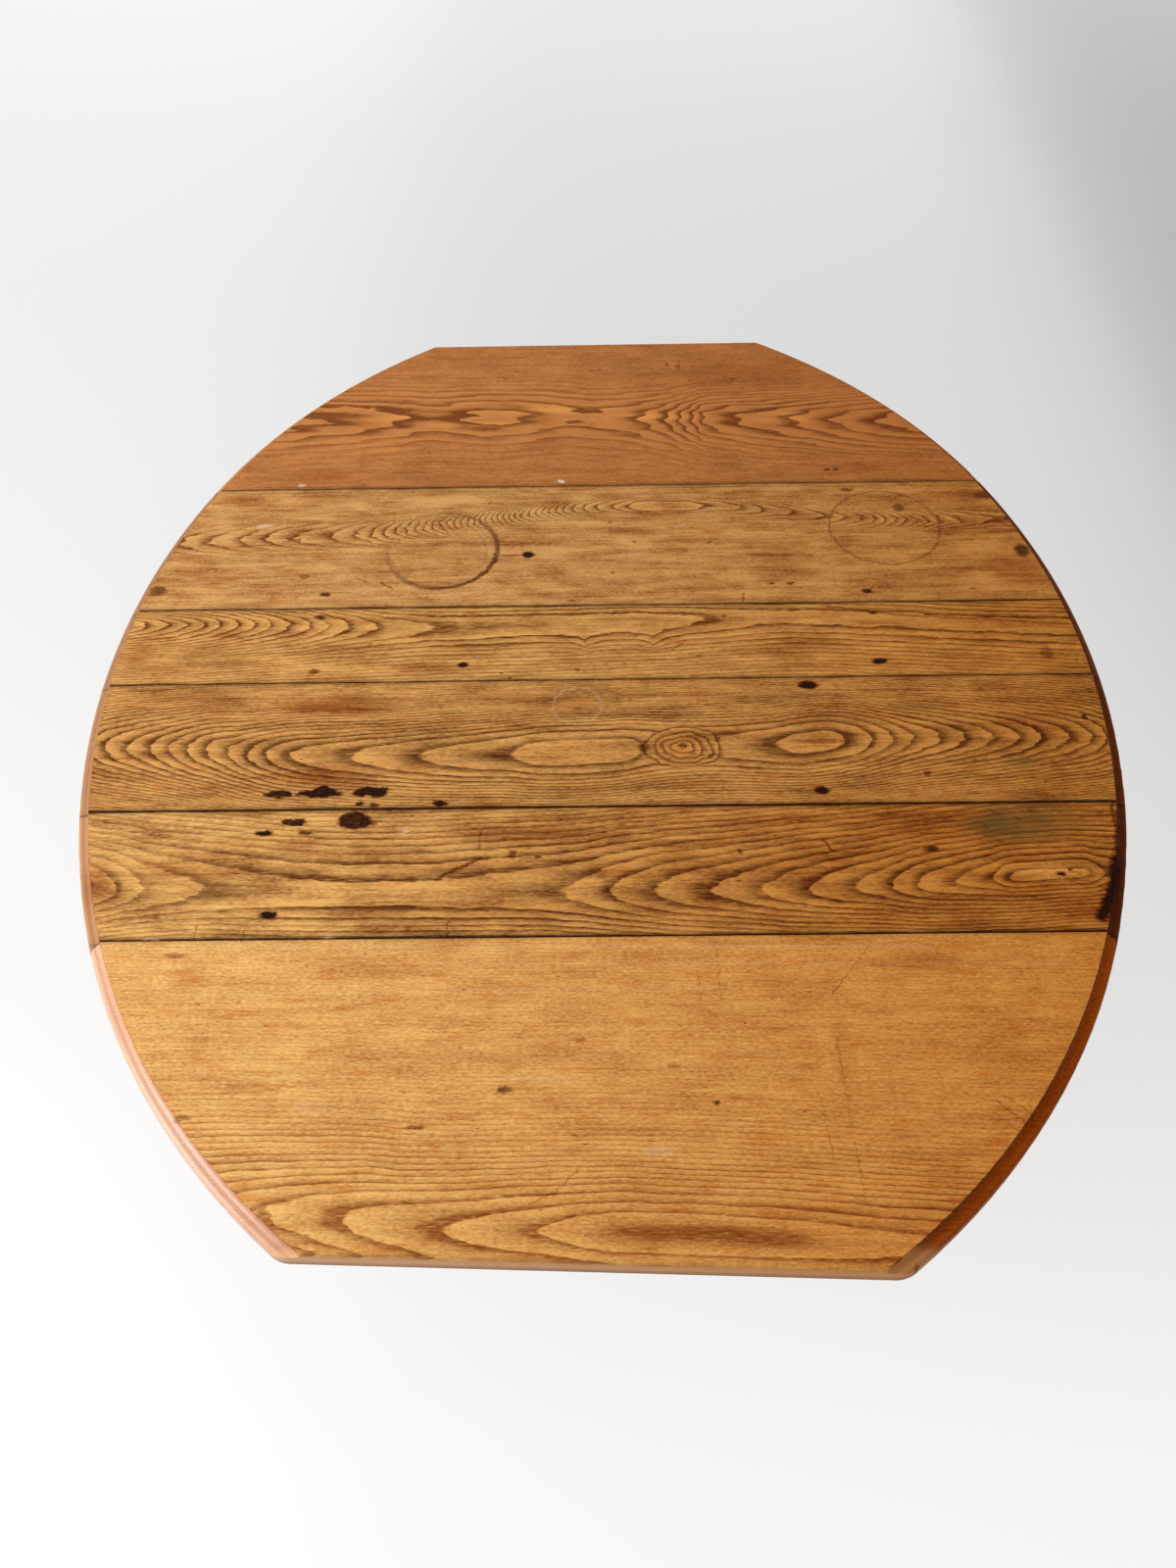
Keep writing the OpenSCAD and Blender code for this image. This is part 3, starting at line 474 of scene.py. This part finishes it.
# Stains, burns and scratches of each board, in mm. Dark, pale, light, red and green spots are (x, y,
# half length, half width, strength) and burns are the same with paler middles. Rings are (x, y,
# radius, width, strength), drawn heavier towards a direction where two more numbers give one. Lines
# run through points: (width, strength, x, y, x, y, ...).
MARKS = {
    "leaf_board_back": {
        "dark": [
            (95, 565, 3, 5, 0.5), (5, 555, 3, 2.5, 0.5), (180, 530, 3, 2.5, 0.5),
            (-120, 538, 3, 2.5, 0.5), (281, 342, 5, 2.5, 0.8), (292, 342, 4, 2.5, 0.8),
            (-210, 385, 3, 2, 0.5), (110, 560, 4, 7, 0.5), (-5, 553, 7, 3, 0.4),
        ],
        "pale": [(-43, 326, 4, 3, 0.8), (-360, 325, 5, 3, 0.5)],
        "green": [(-283, 323, 6, 3.5, 0.6)],
        "red": [
            (-330, 340, 40, 14, 0.5), (330, 345, 30, 12, 0.6), (180, 540, 120, 40, 0.35),
            (-20, 400, 60, 14, 0.25),
        ],
        "lines": [(1.2, 0.4, -420, 322, -200, 319, 60, 321, 420, 320)],
        "light": [
            (-60, 470, 90, 10, 0.5), (70, 452, 60, 10, 0.5), (-150, 440, 70, 7, 0.45),
            (235, 446, 34, 13, 0.45), (-250, 458, 40, 8, 0.4),
        ],
    },
    "top_board_back": {
        "dark": [
            (-80, 195, 8, 6, 1.0), (-102, 194, 14, 2.5, 0.5), (-335, 163, 7, 5, 0.5),
            (-307, 133, 7, 3.5, 0.85), (43, 215, 3, 3, 0.5), (130, 212, 3, 3, 0.5),
            (15, 250, 3, 2.5, 0.5), (17, 163, 3, 3, 0.5), (195, 142, 5, 2, 0.7),
            (217, 142, 5, 2, 0.7), (302, 128, 7, 4, 0.9), (358, 269, 8, 8, 0.6),
            (300, 303, 8, 4, 0.6), (-498, 142, 12, 9, 0.7), (488, 192, 10, 12, 0.8),
            (462, 290, 14, 8, 0.6), (-30, 118, 5, 2, 0.5), (420, 130, 5, 3, 0.5),
        ],
        "pale": [(-395, 250, 9, 4, 0.35)],
        "red": [
            (-430, 300, 34, 12, 0.8), (480, 160, 34, 30, 0.7), (440, 290, 40, 20, 0.6),
            (-185, 190, 60, 40, 0.25),
        ],
        "rings": [
            (-180, 205, 64, 4.6, 1.0, 0.75, -0.65), (-186, 200, 57, 1.8, 0.25, 0.7, 0.7),
            (336, 235, 64, 2.4, 0.5),
        ],
        "lines": [
            (2.0, 0.6, -246, 151, -233, 142), (1.6, 0.5, -276, 160, -262, 152),
            (1.4, 0.5, 162, 110, 163, 126), (1.6, 0.5, 300, 128, 313, 138),
            (1.5, 0.4, -450, 311, -100, 309, 200, 312, 430, 308),
        ],
        "light": [(75, 278, 60, 6, 0.4)],
    },
    "top_board_second": {
        "dark": [
            (-145, 22, 7, 4.5, 1.0), (-305, 15, 8, 4, 0.7), (-104, 9, 3, 2, 0.6),
            (-94, 3, 3, 2, 0.6), (-23, 13, 3, 2.5, 0.6), (300, 20, 10, 5, 0.95),
            (303, 93, 6, 3, 0.8), (-308, 97, 8, 4, 0.8), (139, 91, 3, 2.5, 0.6),
            (107, 32, 3, 2, 0.5), (20, 100, 4, 2, 0.5), (480, 30, 8, 12, 0.5),
        ],
        "red": [
            (-405, 70, 20, 10, 0.7), (-195, 20, 50, 8, 0.5), (430, 80, 60, 18, 0.4),
            (-500, 40, 16, 30, 0.5),
        ],
        "lines": [
            (1.4, 0.7, 80, 41, 92, 50), (2.6, 0.55, 250, 105, 300, 95, 350, 87, 420, 82, 512, 72),
            (1.8, 0.6, -150, 98, 60, 98, 115, 95), (0.9, 0.3, -150, 0, -80, 80),
        ],
    },
    "top_board_third": {
        "dark": [
            (-158, -164, 9, 4, 1.0), (-236, -163, 5, 3, 0.9), (-222, -165, 5, 3, 0.8),
            (220, -13, 12, 7, 0.95), (218, -153, 9, 6, 0.95), (498, -62, 4, 5, 0.8),
            (325, -133, 5, 3, 0.7), (225, -90, 34, 4, 0.5), (-100, -105, 16, 4, 0.5),
            (-185, -105, 12, 3.5, 0.5), (45, -97, 7, 7, 0.6), (85, -93, 5, 4, 0.6),
            (-275, -42, 7, 3, 0.35), (-262, -36, 3, 3, 0.35), (-22, -42, 3, 2.5, 0.45),
            (-340, -30, 5, 2, 0.3),
        ],
        "burns": [(-318, -151, 16, 5, 0.9), (-278, -150, 17, 6, 0.95), (-228, -149, 21, 6, 0.95)],
        "green": [(418, -122, 18, 12, 0.55), (330, -45, 30, 8, 0.3)],
        "red": [
            (-280, -35, 60, 16, 0.95), (-280, -128, 60, 14, 0.95), (85, -93, 40, 30, 0.45),
            (440, -60, 50, 40, 0.4), (-60, -30, 60, 14, 0.5), (250, -60, 90, 14, 0.35),
            (-150, -60, 120, 12, 0.35), (-22, -38, 30, 18, 0.5), (-420, -30, 50, 14, 0.4),
            (-190, -120, 20, 12, 0.6), (20, -140, 90, 14, 0.3),
        ],
        "pale_rings": [(-23, -38, 25, 1.3, 0.16)],
        "lines": [(1.5, 0.4, 230, -20, 420, -24), (1.3, 0.35, -420, -22, -200, -25)],
        "light": [
            (85, -95, 26, 16, 0.5), (222, -94, 24, 9, 0.45), (-40, -100, 70, 10, 0.3),
            (285, -92, 8, 12, 0.3),
        ],
    },
    "top_board_front": {
        "dark": [
            (-325, -198, 11, 4, 0.95), (-285, -198, 9, 2.5, 0.8), (-307, -291, 10, 5, 1.0),
            (-84, -224, 5, 3, 0.7), (-60, -229, 4, 2.5, 0.7), (315, -225, 9, 4, 0.8),
            (133, -225, 4, 3, 0.7), (430, -255, 5, 3, 0.9), (440, -250, 3, 2, 0.8),
            (-20, -205, 50, 7, 0.3), (90, -215, 50, 5, 0.25), (330, -184, 70, 6, 0.3),
            (385, -183, 8, 3, 0.5), (402, -190, 4, 3, 0.4), (418, -181, 6, 3, 0.45),
            (370, -200, 5, 3, 0.35), (-84, -226, 4, 6, 0.6), (-66, -230, 10, 1.5, 0.4),
            (0, -250, 6, 5, 0.35),
        ],
        "burns": [(-297, -185, 11, 5, 0.9), (-238, -184, 17, 9, 0.9)],
        "pale": [(-188, -197, 4, 2, 0.4), (-410, -316, 8, 1.2, 0.25), (-250, -316, 7, 1.0, 0.2)],
        "green": [(404, -194, 58, 22, 0.8)],
        "red": [
            (-475, -250, 20, 30, 0.7), (-60, -200, 90, 14, 0.5), (250, -200, 120, 16, 0.3),
            (450, -290, 40, 20, 0.5), (330, -200, 150, 24, 0.5), (190, -236, 60, 18, 0.35),
            (-300, -215, 120, 16, 0.25), (60, -245, 70, 16, 0.25), (-400, -240, 70, 18, 0.5),
            (-150, -290, 160, 12, 0.3), (-130, -240, 40, 10, 0.5),
        ],
        "lines": [
            (3.4, 0.7, -155, -253, -115, -230), (1.4, 0.5, -115, -195, -116, -220),
            (1.5, 0.6, -140, -300, -141, -317), (1.3, 0.5, -371, -303, -371, -316),
            (1.3, 0.5, -327, -305, -327, -317), (2.2, 0.7, 213, -213, 221, -227),
            (4.0, 0.65, 498, -172, 494, -205, 486, -238),
            (10, 1.0, 486, -238, 478, -262, 464, -290, 456, -302),
        ],
        "light": [(427, -252, 38, 10, 1.0), (300, -262, 20, 8, 0.25)],
    },
    "leaf_board_front": {
        "dark": [
            (-83, -465, 7, 4.5, 0.7), (95, -478, 4, 3, 0.75), (-385, -333, 11, 3, 0.5),
            (-155, -498, 9, 2.5, 0.6), (-350, -488, 9, 3, 0.5), (-20, -420, 5, 3, 0.4),
            (60, -445, 6, 3, 0.4), (-240, -613, 4, 3, 0.5), (20, -613, 4, 3, 0.6),
            (240, -611, 3, 3, 0.5),
        ],
        "pale": [(45, -520, 14, 5, 0.13), (-60, -455, 36, 3, 0.1), (-240, -480, 16, 6, 0.08)],
        "red": [
            (285, -345, 40, 16, 0.5), (205, -435, 10, 45, 0.4), (150, -360, 20, 20, 0.35),
            (-200, -350, 90, 12, 0.25), (210, -585, 200, 26, 0.3), (380, -470, 60, 60, 0.25),
            (300, -560, 110, 40, 0.3), (-370, -360, 16, 30, 0.35), (-350, -420, 12, 20, 0.3),
        ],
        "lines": [
            (1.0, 0.35, 103, -325, 105, -382), (1.0, 0.35, 85, -345, 86, -382),
            (1.0, 0.45, 200, -380, 222, -352, 241, -329),
            (1.0, 0.5, -60, -562, -38, -552, -20, -533), (1.0, 0.35, 200, -420, 206, -560),
            (1.3, 0.5, 325, -478, 347, -500), (1.2, 0.45, 333, -474, 353, -493),
            (1.0, 0.4, 318, -486, 338, -505), (1.0, 0.35, 180, -470, 186, -530),
        ],
        "pale_lines": [
            (1.2, 0.14, -460, -325, 0, -328, 300, -331), (1.0, 0.09, -200, -343, 420, -350),
            (1.0, 0.1, -430, -374, 120, -371),
        ],
    },
}


def ellipse(g, p, cx, cy, a, b):
    """Distance from an ellipse's centre, 1 on the ellipse."""
    away = g.vmath("SUBTRACT", p, (cx, cy, 0))
    return g.vmath("LENGTH", g.vmath("MULTIPLY", away, (1 / a, 1 / b, 0)))


def segment(g, p, x0, y0, x1, y1):
    """Distance from the line between two points."""
    run = Vector((x1 - x0, y1 - y0, 0))
    away = g.vmath("SUBTRACT", p, (x0, y0, 0))
    part = g.clamp(g.vmath("DOT_PRODUCT", away, tuple(run / run.length_squared)))
    along = g.vmath("MULTIPLY", g.vector(part, part), tuple(run))
    return g.vmath("LENGTH", g.vmath("SUBTRACT", away, along))


def marks(g, p, rows, shape):
    """The strongest of several marks at a point, 0 where there is none."""
    return reduce(lambda a, b: g.math("MAXIMUM", a, b), [shape(g, p, *row) for row in rows])


def blot(g, p, cx, cy, a, b, strength):
    return g.step(ellipse(g, p, cx, cy, a, b), 1.3, 0.5) * strength


def soft_patch(g, p, cx, cy, a, b, strength):
    return g.step(ellipse(g, p, cx, cy, a, b), 1.5, 0.0) * strength


def burn(g, p, cx, cy, a, b, strength):
    rho = ellipse(g, p, cx, cy, a, b)
    return g.step(rho, 1.3, 0.85) * (g.step(rho, 0.0, 0.4) * 0.08 + 0.92) * strength


def ring_mark(g, p, cx, cy, radius, width, strength, *heavy):
    """A ring left by a pot or cup."""
    away = g.vmath("SUBTRACT", p, (cx, cy, 0))
    off = g.vmath("LENGTH", away) - radius
    ring = g.step(g.abs(off), width, 0.2 * width) * strength
    if heavy:
        side = g.vmath("DOT_PRODUCT", away, (heavy[0] / radius, heavy[1] / radius, 0))
        ring = ring * (side * 0.42 + 0.58)
    return ring


def line_mark(g, p, width, strength, *points):
    parts = [segment(g, p, *points[i:i + 4]) for i in range(0, len(points) - 2, 2)]
    away = reduce(lambda a, b: g.math("MINIMUM", a, b), parts)
    return g.step(away, width, 0.1 * width) * strength


def ring_line(g, rings, band):
    """Each ring starts with a sharp dark line of pores and fades outward."""
    t = g.math("FRACT", rings)
    return g.step(t, 0.0, 0.05) * (g.step(t, band, 0.1) * 0.62 + g.step(t, 0.95, 0.1) * 0.5)


def ring_figure(g, x, y, down, spec):
    """Growth rings: how dark their lines are, and how much of the figure shows, 0 to 1."""
    seed = spec["seed"]
    # Lines sway a little, and wander more slowly along the grain than across it
    sway = g.cells(x, y, seed, 75, 40) * (4 * spec["sway"])
    off = y - g.curve(x, spec["centre"]) + sway
    depth = g.curve(x, spec["depth"]) - down
    for cx, width, low_y, high_y, push in spec.get("scallops", ()):
        inside = g.step(y, low_y, low_y + 12) * g.step(y, high_y, high_y - 12)
        off = off + g.fade(x - cx, width) * inside * push
    up, below = g.math("MAXIMUM", off, 0.0), g.math("MINIMUM", off, 0.0)
    across = up * spec["up"] + below * spec["down"]
    radius = g.math("SQRT", across * across + depth * depth)
    radius = radius + g.cells(x, y, seed + 3, 28, 7) * (4 * spec["jitter"])
    if "ripple" in spec:
        radius = radius + g.math("SINE", (y + x * 0.1) * 0.33) * spec["ripple"]
    rings = g.curve(radius, spec["rings"])
    line = ring_line(g, rings, spec.get("band", 0.4))
    for cx, cy, a, b, count in spec.get("knots", ()):
        uneven = g.noise(g.vector(x * 0.06, y * 0.06, seed), 3)
        rho = ellipse(g, g.vector(x, y), cx, cy, a, b) + uneven * 0.45
        line = g.blend(g.step(rho, 1.0, 1.3), ring_line(g, rho * count, 0.6), line)
    # Some rings are darker than others
    weight = g.noise(g.vector(g.math("FLOOR", rings) * 0.63, x * (1 / 200), seed), 1) * 1.2 + 0.95
    visible = g.math("EXPONENT", (off / spec["visible"]) ** 2 * -1) * (1 - spec["far"]) + spec["far"]
    if "pale_end" in spec:
        start, end, amount = spec["pale_end"]
        visible = visible * (1 - g.step(x, start, end) * amount)
    return line * visible * weight, visible


def worn_color(g, spec, x, y, down):
    """Colour of the worn top, how dark its grain is, and the noises that its gloss uses too."""
    seed = spec["seed"]
    line, visible = ring_figure(g, x, y, down, spec)
    length, width = spec["pore"]
    pores = g.cells(x, y, seed + 9, length, width)
    dashes = g.cells(x, y, seed + 11, 2.2 * length, 1.6)
    streak = g.cells(x, y, seed + 5, 45, 2.8, 3, 0.65)
    band = g.cells(x, y, seed + 7, 130, 11, 3)
    worn = g.cells(x, y, seed + 1, 60, 30, 4, 0.65)
    shade = pores * spec["grain"] + streak * spec["streak"]
    shade = shade + band * (0.8 * spec["patch"]) + worn * spec["patch"]
    shade = g.clamp(shade + line * 0.15 - (1 - line) * visible * spec["glow"] + 0.33)
    color = g.mix(shade, rgb(*spec["light"]), rgb(*spec["dark"]))
    rust = g.cells(x, y, seed + 15, 38, 12, 4, 0.6)
    color = g.tint(g.step(rust, 0.02, 0.2) * spec.get("rust", 0.55), color, (0.86, 0.60, 0.42))
    broken = 0.85 + dashes * spec.get("ragged", 2.2) + band
    lines = g.math("MULTIPLY", line * broken, spec["lines"], clamp=True)
    color = g.mix(lines, color, rgb(*spec["line"]))
    fleck = g.cells(x, y, seed + 19, 9, 4)
    color = g.mix(g.step(fleck, 0.19, 0.26) * 0.6, color, rgb(80, 36, 10))
    mottle = g.cells(x, y, seed + 23, 15, 10, 3, 0.65)
    color = g.tint(g.step(mottle, 0.0, 0.22) * 0.42, color, (0.80, 0.62, 0.42))
    color = g.tint(g.step(mottle, -0.02, -0.24) * 0.3, color, (1.16, 1.14, 1.1))
    # Fine scratches in two directions, pale ones and dark ones
    for along, across, tone in (
        (x - y * 1.25, x + y * 0.8, rgb(216, 168, 112)),
        (x + y * 2, x - y * 0.5, rgb(70, 30, 8)),
    ):
        scratch = g.cells(along, across, seed + 27, 2.2, 70, 1)
        color = g.mix(g.step(scratch, 0.27, 0.33) * 0.3, color, tone)
    return color, g.math("MAXIMUM", shade, lines), pores, streak, worn


# Distances from the middle of the table, in mm, over which the moulding gives way to the eased edge
STRAIGHT_EDGE = (592, 602)


def edge_color(g, spec, x, y, z, down, color, dark):
    """The moulding round the bowed ends, paler with painted highlight on the left and darker with painted
    shade on the right and in its hollows, and the plain eased edge at the front and back, paler with a
    painted reflection.
    """
    # The moulding is paler at the left with painted highlight from the window, and darker at the right with
    # painted shade, over its own colour
    to_right = g.step(x, -440, 400)
    lit_left_rim, shaded_right_rim = spec["rim"]
    rim_color = g.mix(to_right, rgb(*lit_left_rim), rgb(*shaded_right_rim))
    # Darker in the hollow and in the step above it, as dirt and as painted shade, and in the grain of the
    # right side
    hollow = g.step(down, 7.5, 3)
    groove = g.step(g.abs(down - 1.0), 0.9, 0.3)
    stripe = g.noise(g.vector(x * (1 / 60), y * (1 / 1.7), z * (1 / 1.7)), 2)
    dirt_and_shade = dark * 0.3 + hollow * 0.3 + groove * 0.4 + stripe * g.step(x, -200, 300)
    # The colour that the hollows and the right side go to, near black at the right as painted shade
    rim_dirt_and_shade = g.mix(to_right, rgb(150, 88, 52), rgb(58, 26, 1))
    rim_color = g.mix(g.clamp(dirt_and_shade + 0.04), rim_color, rim_dirt_and_shade)
    # The eased edge is painted paler, a painted reflection along its rounded top and down its face
    eased_reflection = g.mix(g.step(down, 1, 5), color, rgb(224, 172, 126))
    eased_reflection = g.mix(g.step(down, 7, 16) * 0.5, eased_reflection, rgb(232, 196, 164))
    straight = g.step(g.abs(y), *STRAIGHT_EDGE)
    return g.mix(straight, rim_color, eased_reflection), straight


def add_marks(g, found, p, color, dark, pores, streak, worn):
    """The marks of use, over the colour of the wood."""
    def found_marks(key, shape, at=p):
        return marks(g, at, found[key], shape)

    color = g.tint(found_marks("red", soft_patch) * (0.9 + streak), color, (0.62, 0.36, 0.20))
    if "green" in found:
        color = g.mix(found_marks("green", soft_patch) * (0.9 + worn * 2), color, rgb(92, 74, 36))
    if "light" in found:
        color = g.mix(found_marks("light", soft_patch) * (1 - dark), color, rgb(232, 158, 78))
    ink = g.math("MAXIMUM", found_marks("dark", blot), found_marks("lines", line_mark))
    if "burns" in found:
        ink = g.math("MAXIMUM", ink, found_marks("burns", burn, g.wobble(p, 0.055, 16)))
    ink = g.math("MULTIPLY", ink, 1.08 + pores * 0.4, clamp=True)
    # A mark is brown where it is thin and nearly black where it is thick
    color = g.tint(ink, color, (0.66, 0.42, 0.26))
    color = g.mix(ink ** 1.8, color, rgb(36, 12, 5))
    if "rings" in found:
        color = g.mix(found_marks("rings", ring_mark) * (0.9 + streak), color, rgb(82, 34, 14))
    for key, shape in (("pale", blot), ("pale_rings", ring_mark), ("pale_lines", line_mark)):
        if key in found:
            color = g.mix(found_marks(key, shape), color, rgb(224, 206, 186))
    return color


def top_board(name, spec):
    g = Graph(bpy.data.materials.new(name))
    x, y, z = [a * MM_PER_M for a in g.coords()]
    down = TABLE_H - z
    color, dark, pores, streak, worn = worn_color(g, spec, x, y, down)

    rim = g.step(down, 0.4, 1.2)
    edge, straight = edge_color(g, spec, x, y, z, down, color, dark)
    color = g.mix(rim, color, edge)
    # The lower half of the edge and the underside are bare wood
    color = g.mix(g.step(down, 12, 16) * 0.45, color, rgb(150, 94, 52))
    color = g.mix(g.step(down, 18, 21) * 0.5, color, rgb(120, 84, 54))

    color = g.tint(g.step(x, *spec["amber"]) * spec["tint"], color, spec.get("far_color", AMBER))
    below_seam = g.step(down, 0.5, 1.5) * 0.75
    for at, width, strength in spec["edges"]:
        near = g.fade(y - at, width) * (1 - below_seam)
        color = g.mix(near * (strength + worn * 1.5), color, SEAM_DIRT)
    uneven = g.wobble(g.vector(x, y), 0.16, 4.5)
    color = add_marks(g, MARKS[name], uneven, color, dark, pores, streak, worn)

    polish = rim * (1 - straight * 0.7)
    rough = g.blend(polish, 0.5 + dark * 0.12 + streak * 0.3, 0.4 + streak * 0.2)
    normal = g.bump((pores * 0.4 - dark) * (1 - rim * 0.85), 0.0003, 0.4)
    # The end of the moulding towards the window still has its varnish
    varnish = polish * g.step(y, -390, -500) * g.step(x, -200, -300)
    return g.surface(
        color, rough, normal, IOR=1.45, Specular_IOR_Level=spec["gloss"],
        Specular_Tint=(1.0, 0.72, 0.48, 1.0), Coat_Weight=varnish * 0.9, Coat_Roughness=0.34,
    )


for name, spec in FIGURES.items():
    dress(top_board(name, spec), name)


def grown_wood(name, light, dark, grain, pith, dirt_and_shade=()):
    """Waxed pine cut from a trunk: rings round a pith along one axis, the same on both sides of the table."""
    g = Graph(bpy.data.materials.new(name))
    axes = [a * MM_PER_M for a in g.coords()]

    def fibres(length, width):
        return g.vector(*[a * (1 / (length if i == grain else width)) for i, a in enumerate(axes)])

    cross = [a for i, a in enumerate(axes) if i != grain]
    off = [g.abs(a) - at for a, at in zip(cross, pith)]
    radius = g.math("SQRT", off[0] * off[0] + off[1] * off[1])
    radius = radius + g.noise(fibres(240, 70), 2) * 30 + g.noise(fibres(50, 7), 2) * 2.4
    line = ring_line(g, radius * (1 / 3.8), 0.5)
    fine = g.noise(fibres(26, 1.6), 3, 0.6)
    amount = g.clamp(line * 0.55 + fine * 0.9 + 0.12)
    color = g.mix(amount, rgb(*light), rgb(*dark))
    wear = g.noise(g.vector(*[a * 0.011 for a in axes]), 4, 0.6)
    color = g.tint(g.step(wear, -0.08, 0.2) * 0.7, color, (0.72, 0.52, 0.36))
    color = g.mix(g.step(wear, 0.0, -0.22) * 0.35, color, rgb(214, 156, 98))
    # Darker bands at the given heights, as dirt and as painted shade
    for height, width in dirt_and_shade:
        color = g.mix(g.fade(axes[2] - height, width) * 0.7, color, rgb(40, 18, 6))
    rough = 0.42 + fine * 0.25 + wear * 0.2
    return g.surface(color, rough, g.bump(amount * -1, 0.0003, 0.4), Coat_Weight=0.12, Coat_Roughness=0.25)


# Light and dark colours of the frame's waxed wood and of the bare wood under the top
BASE = ((176, 112, 58), (104, 56, 22))
PALE = ((196, 152, 100), (142, 98, 56))
# Height and width in mm of the places on the legs painted darker, as dirt and as painted shade: the turned
# hollows and the feet
LEG_HOLLOWS = (
    (90, 1.8), (106, 1.8), (509, 1.6), (519.5, 1.6), (538.5, 1.8), (556, 2.0), (4, 3.5),
)
ALONG_X, ALONG_Y, ALONG_Z = range(3)


def named(*parts):
    return [node for node in NODES if any(part in node for part in parts)]


dress(grown_wood("leg_wood", *BASE, ALONG_Z, (360, 192), LEG_HOLLOWS), *named("leg_"))
dress(grown_wood("long_apron_wood", *BASE, ALONG_X, (196, 585)), "apron_front", "apron_back")
dress(grown_wood("end_apron_wood", *BASE, ALONG_Y, (370, 585)), "apron_left", "apron_right")
dress(grown_wood("cross_wood", *PALE, ALONG_Y, (150, 640)), *named("middle_rail", "battens_", "prop_arm"))
dress(grown_wood("block_wood", *PALE, ALONG_X, (180, 660)), "glue_blocks", "joint_pegs")


def metal(name, light, dark, rough):
    g = Graph(bpy.data.materials.new(name))
    axes = [a * MM_PER_M for a in g.coords()]
    grime = g.noise(g.vector(*[a * 0.08 for a in axes]), 4, 0.65)
    speck = g.noise(g.vector(*[a * 0.7 for a in axes]), 2)
    color = g.mix(g.clamp(grime * 2 + 0.45), rgb(*light), rgb(*dark))
    return g.surface(color, rough + grime * 0.5 + speck * 0.2, g.bump(speck, 0.0002, 0.5), Metallic=0.85)


dress(metal("old_iron", (88, 82, 76), (62, 44, 34), 0.55), *named("plates", "brackets"))
dress(metal("old_steel", (150, 144, 134), (96, 84, 70), 0.45), *named("pins", "screws"))
